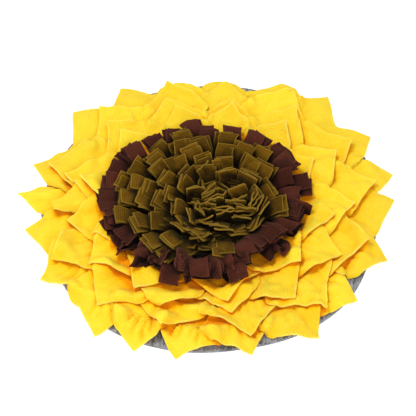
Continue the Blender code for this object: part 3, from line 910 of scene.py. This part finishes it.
# The strips that stand in the heart and in front of it, listed one by one. Most face the viewer, so their
# wavy cut
# ends show one behind the other. Each row: place of the free end in mm, heading in degrees, strips, lean
# at the seam and at the free end in degrees, and crumpling.
HEART_BUNDLES = (
    (-13, 25, 126, 1, 0, 34, 1.5), (20, 17, 112, 2, 0, 20, 1), (-20, -8, 104, 2, 0, 16, 2),
    (-4, -16, 124, 3, 0, 10, 2.4), (6, -27, 112, 3, 0, 4, 2.4), (35, -6, 128, 2, 0, 44, 0.8),
    (54, 15, 38, 3, 0, 34, 0.6), (64, -14, 36, 3, 0, 40, 0.6), (33, -29, 104, 3, 0, 4, 2.4),
    (42, -42, 80, 2, 0, 6, 2.4), (60, -34, 2, 3, 0, 14, 1), (71, -42, 352, 3, 0, 34, 1),
    (20, -51, 301, 3, 0, 20, 1.2), (44, -59, 280, 3, 0, 40, 1.4), (13, -75, 268, 3, 10, 62, 0.8),
    (-6, -68, 255, 3, 6, 52, 1), (-17, -43, 196, 2, 0, 12, 1.6), (-30, -52, 186, 2, 0, 30, 1),
    (-8, -40, 108, 2, 0, 6, 2), (-28, -76, 245, 3, 12, 66, 1), (38, -78, 300, 3, 12, 72, 1.2),
    (62, -66, 315, 3, 10, 60, 1), (-12, -86, 262, 3, 8, 58, 1.4), (7, -93, 285, 2, 26, 92, 0.8),
    (29, -94, 300, 3, 28, 92, 1), (52, -86, 312, 3, 26, 88, 1),
    (-10, -97, 262, 3, 24, 80, 1.6), (-28, -92, 246, 2, 26, 84, 1.6), (12, -96, 274, 2, 26, 78, 1.4),
)  # fmt: skip
# Shorter strips that stand deeper between them, in the same form. They hide the felt.
DEEP_BUNDLES = (
    (2, 8, 118, 3, 0, 22, 1.2), (20, 0, 72, 3, 0, 22, 1.2), (-14, 12, 150, 3, 0, 30, 1.2),
    (38, 8, 60, 3, 0, 34, 1), (49, -10, 30, 3, 0, 34, 1), (12, -12, 100, 2, 0, 12, 1.5),
    (-50, -62, 225, 3, 0, 70, 1), (24, -40, 90, 2, 0, 10, 1), (-30, -84, 238, 3, 10, 80, 1),
    (-2, -88, 265, 3, 10, 80, 1.2), (26, -84, 285, 3, 10, 80, 1.2), (-14, -66, 250, 3, 0, 50, 1),
    (-5, -87, 268, 3, 0, 50, 1),
    (-62, -78, 225, 3, 20, 84, 1), (46, -74, 300, 3, 10, 70, 1), (70, -62, 322, 3, 10, 70, 1),
    (-20, -84, 222, 3, 6, 50, 1.2), (13, -80, 282, 3, 4, 50, 1.6), (-10, -99, 264, 3, 22, 84, 1.3),
    (31, -94, 276, 3, 10, 72, 1.8), (-40, -84, 262, 2, 10, 66, 1.4),
    (-24, -16, 180, 3, 0, 24, 1.2), (-14, -26, 250, 3, 0, 20, 1.2), (26, -14, 60, 3, 0, 20, 1.2),
    (24, -26, 290, 2, 0, 16, 1.2),
)  # fmt: skip
HEART_SCATTER = 22  # degrees, about the headings of both tables
OLIVE_NOTCHES = ((12, 142), (10, 275))  # by how many mm, and at which bearing, the seams are pulled in
NOTCH_SHARPNESS = 6
GOLDEN_TURN = math.pi * (3 - math.sqrt(5))


def olive_bundle(place, dice):
    """The bundles fill the round evenly, and each leans away from the heart of the dome, the more the
    nearer it is to the rim. It returns that share of the way too."""
    reach = OLIVE_REACH * math.sqrt((place + 0.5) / OLIVE_BUNDLES)
    root = OLIVE_CENTRE + reach * np.array((math.cos(GOLDEN_TURN * place), math.sin(GOLDEN_TURN * place)))
    away = root - OLIVE_HEART
    distance = np.linalg.norm(away)
    way = away / distance
    across = np.dot(way, OLIVE_CENTRE - OLIVE_HEART)
    apart = OLIVE_HEART - OLIVE_CENTRE
    to_rim = across + math.sqrt(OLIVE_REACH**2 - np.dot(apart, apart) + across**2)
    share = distance / to_rim
    stray = dice.uniform(-1, 1) * rising(OLIVE_TURN, (1 - share) ** 2)
    heading = math.atan2(way[1], way[0]) + math.radians(stray)
    strips = 2 if share > 0.93 else 3
    for depth, turn in OLIVE_NOTCHES:
        nearness = max(math.cos(heading - math.radians(turn)), 0) ** NOTCH_SHARPNESS
        root -= way * depth * MM * nearness
    high_lean = rising(HIGH_LEAN, share) + dice.uniform(-HIGH_LEAN_SCATTER, HIGH_LEAN_SCATTER)
    length = OLIVE_LENGTH + dice.uniform(*OLIVE_LENGTH_SCATTER)
    low_lean = rising(LOW_LEAN, share)
    bundle = Bundle(root, heading, strips, length, low_lean, high_lean, OLIVE_PITCH, OLIVE_CRUMPLE, 0)
    return share, bundle


# The fold and pit colours are painted shade, and the edge colour carries a painted highlight.
OLIVE = Fleece(
    face=(0.112, 0.053, 0.0014, 1), edge=(0.36, 0.23, 0.03, 1),
    fold=(0.018, 0.008, 0.0, 1), pit=(0.003, 0.001, 0.0, 1),
)  # fmt: skip
olive_fleece = fleece_material("olive_fleece", OLIVE, sheen_tint=(0.7, 0.5, 0.15, 1), **STRIP_LOOK)
dice = random.Random(22)
olive_sheets = []
bundles = [olive_bundle(place, dice) for place in range(OLIVE_BUNDLES)]
bundles = [found for found in bundles if np.linalg.norm(found[1].root - OLIVE_HEART) > HEART_REACH]
bundles.sort(key=lambda found: -found[0])
for number, (share, bundle) in enumerate(bundles):
    olive_sheets += lay_bundle(bundle, dice, f"olive_{number}", on_pile=share > 0.8)
for name, length, table in (("heart", HEART_LENGTH, HEART_BUNDLES), ("deep", DEEP_LENGTH, DEEP_BUNDLES)):
    for number, (x, y, heading, strips, low, high, crumple) in enumerate(table):
        heading += dice.uniform(-HEART_SCATTER, HEART_SCATTER)
        bundle = bundle_reaching(x, y, heading, strips, length, low, high, HEART_PITCH, crumple)
        olive_sheets += lay_bundle(bundle, dice, f"{name}_{number}", on_pile=False)
olive = join_cloth("olive_strips_cloth", olive_sheets)
olive.data.materials.append(olive_fleece)
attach(olive, "root")
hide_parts("olive_strips")

# ----------------------------------------
# Studio. A pale floor that the light all but burns out, a broad key light from behind on the left, a
# fill, and the camera at the photograph's angle.
# ----------------------------------------
bpy.ops.object.select_all(action="DESELECT")
bpy.ops.mesh.primitive_plane_add(size=6, location=(0, 0, -0.0005))
floor = bpy.context.object
floor.name = "floor"
pale, tree, shader, bump = new_material("pale_floor", 0.9, 0.0, (1, 1, 1, 1))
shader.inputs["Base Color"].default_value = (0.93, 0.93, 0.93, 1)
shader.inputs["Emission Color"].default_value = (1, 1, 1, 1)
shader.inputs["Emission Strength"].default_value = 0.55
floor.data.materials.append(pale)

world = bpy.data.worlds.new("studio")
bpy.context.scene.world = world
world.use_nodes = True
world.node_tree.nodes["Background"].inputs["Color"].default_value = (1, 1, 1, 1)
world.node_tree.nodes["Background"].inputs["Strength"].default_value = 0.55


def softbox(name, place, size, power):
    bpy.ops.object.light_add(type="AREA", location=place)
    light = bpy.context.object
    light.name = name
    light.data.shape = "DISK"
    light.data.size = size
    light.data.energy = power
    light.rotation_euler = (Vector((0, 0, 0)) - Vector(place)).to_track_quat("-Z", "Y").to_euler()


softbox("key", (-0.5, 0.0, 1.7), 0.4, 16)
softbox("fill", (0.3, -1.2, 1.3), 1.4, 9)

CAMERA_DISTANCE = 1.312
CAMERA_ELEVATION = math.radians(52.6)
CAMERA_TARGET = Vector((0, 0, 0.02))
bpy.ops.object.camera_add()
camera = bpy.context.object
camera.name = "camera"
back = Vector((0, -math.cos(CAMERA_ELEVATION), math.sin(CAMERA_ELEVATION)))
camera.location = CAMERA_TARGET + back * CAMERA_DISTANCE
camera.rotation_euler = (-back).to_track_quat("-Z", "Y").to_euler()
camera.data.lens = 85
camera.data.sensor_width = 36
camera.data.shift_x = -0.0067
camera.data.shift_y = -0.02
bpy.context.scene.camera = camera
bpy.context.scene.view_settings.view_transform = "Standard"

# With all the cloth in place, each piece gets painted shade where it lies deep in a fold. The strips' painted
# shade is the stronger, since light hardly gets between them.
for piece, power in ((outer, 1.0), (second, 1.0), (third, 1.0), (inner, 1.0), (brown, 0.8), (olive, 0.8)):
    paint_fold_shade(piece, power)
